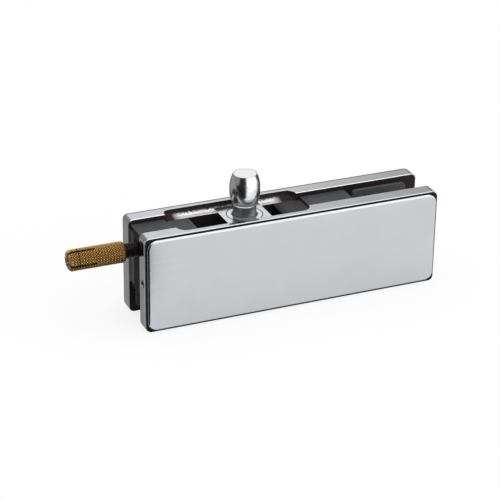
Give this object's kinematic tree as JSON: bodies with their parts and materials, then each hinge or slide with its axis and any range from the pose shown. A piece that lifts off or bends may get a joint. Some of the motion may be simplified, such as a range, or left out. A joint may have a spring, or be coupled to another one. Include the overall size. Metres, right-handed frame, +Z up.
{
  "type": "over-panel glass patch fitting",
  "caption": "Glass patch fitting that clamps a notched overhead glass panel, with a sliding upright pivot pin for a door below or above and a split brass wall plug on its end.",
  "frame": {"origin": "middle of the pin's crown, on the pivot axis", "axes": "+Z up along the pin, +X along the fitting away from the wall, +Y through the glass to the rear cover"},
  "size_m": [0.1961, 0.036, 0.0709],
  "materials": {
    "polished_alloy": "polished",
    "polished_steel": "polished",
    "black_plastic": "matt",
    "gasket_fibre": "matt",
    "core_metal": "semi-gloss",
    "pivot_steel": "polished",
    "zinc_steel": "satin",
    "black_steel": "black oxide",
    "brass": "knurled"
  },
  "bodies": {
    "fitting": {"front_clamp": "polished_alloy", "rear_clamp": "polished_alloy", "front_cover": "polished_steel", "rear_cover": "polished_steel", "front_backing": "black_plastic", "rear_backing": "black_plastic", "front_gasket": "gasket_fibre", "rear_gasket": "gasket_fibre", "wall_block": "core_metal", "pivot_carrier": "core_metal", "spacer_block": "core_metal", "wall_bolt": "black_steel", "wall_anchor": "brass", "clamp_screws": "black_steel", "locating_pins": "zinc_steel", "cover_grub_screws": "black_steel"},
    "pivot": {"pivot_block": "pivot_steel", "pivot_pin": "pivot_steel", "pivot_washer": "zinc_steel", "pivot_nut": "zinc_steel"}
  },
  "joints": [
    {"name": "pivot_adjust", "type": "slide", "parent": "fitting", "child": "pivot", "axis": [1, 0, 0], "range_m": [-0.015, 0.006]}
  ]
}
